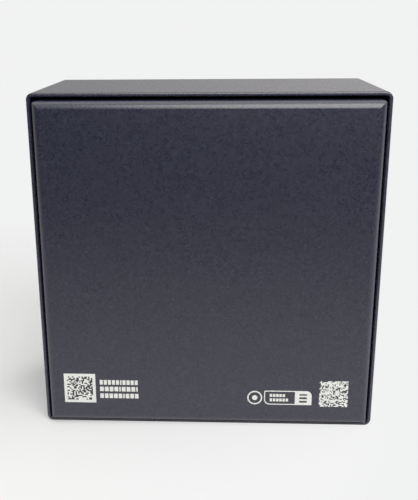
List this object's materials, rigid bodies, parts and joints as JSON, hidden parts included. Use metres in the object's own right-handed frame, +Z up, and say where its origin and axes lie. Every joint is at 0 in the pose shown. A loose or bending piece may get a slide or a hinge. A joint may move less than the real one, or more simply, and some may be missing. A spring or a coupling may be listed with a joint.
{
  "type": "cufflink display box",
  "caption": "Square rigid carton for cufflinks: a wrapped base tray with a lift-out slit cushion on a raised platform, inside a full-depth lift-off lid.",
  "frame": {"origin": "under the middle of the closed box, on the surface that it stands on", "axes": "+Z up, through the two side walls that the box stands on and under; +Y from the base's underside to the lid's top panel, the way the lid lifts off; +X to the right as one faces the base's underside"},
  "size_m": [0.135, 0.0678, 0.136],
  "materials": {
    "wrap_paper": "matte",
    "greyboard": "matte",
    "stay_paper": "matte",
    "lining_paper": "matte",
    "platform_suede_paper": "matte",
    "well_card": "matte",
    "cushion_suede": "matte",
    "foam": "matte",
    "satin": "satin",
    "ribbon": "satin",
    "staple_wire": "satin"
  },
  "bodies": {
    "base": {"base_board": "greyboard", "base_corner_stays": "stay_paper", "base_wrap": "wrap_paper", "base_wall_lining": "lining_paper", "base_floor_lining": "lining_paper", "platform_board": "greyboard", "platform_corner_stays": "stay_paper", "platform_cover": "platform_suede_paper", "cushion_well": "well_card"},
    "lid": {"lid_board": "greyboard", "lid_corner_stays": "stay_paper", "lid_wrap": "wrap_paper", "lid_wall_lining": "lining_paper", "lid_ceiling_lining": "lining_paper", "lid_pad_card": "well_card", "lid_pad_foam": "foam", "lid_pad_satin": "satin"},
    "cushion": {"cushion_card": "well_card", "cushion_foam": "foam", "cushion_suede": "cushion_suede", "ribbon_tail": "ribbon", "ribbon_staple": "staple_wire"},
    "ribbon": {"ribbon_loop": "ribbon"}
  },
  "joints": [
    {"name": "lid_lift", "type": "slide", "parent": "base", "child": "lid", "axis": [0, 1, 0], "range_m": [0, 0.15]},
    {"name": "cushion_lift", "type": "slide", "parent": "base", "child": "cushion", "axis": [0, 1, 0], "range_m": [0, 0.0125]},
    {"name": "ribbon_turn", "type": "hinge", "parent": "cushion", "child": "ribbon", "pos_m": [0, -0.0055, 0.02637], "axis": [1, 0, 0], "range_deg": [0, 90]}
  ]
}
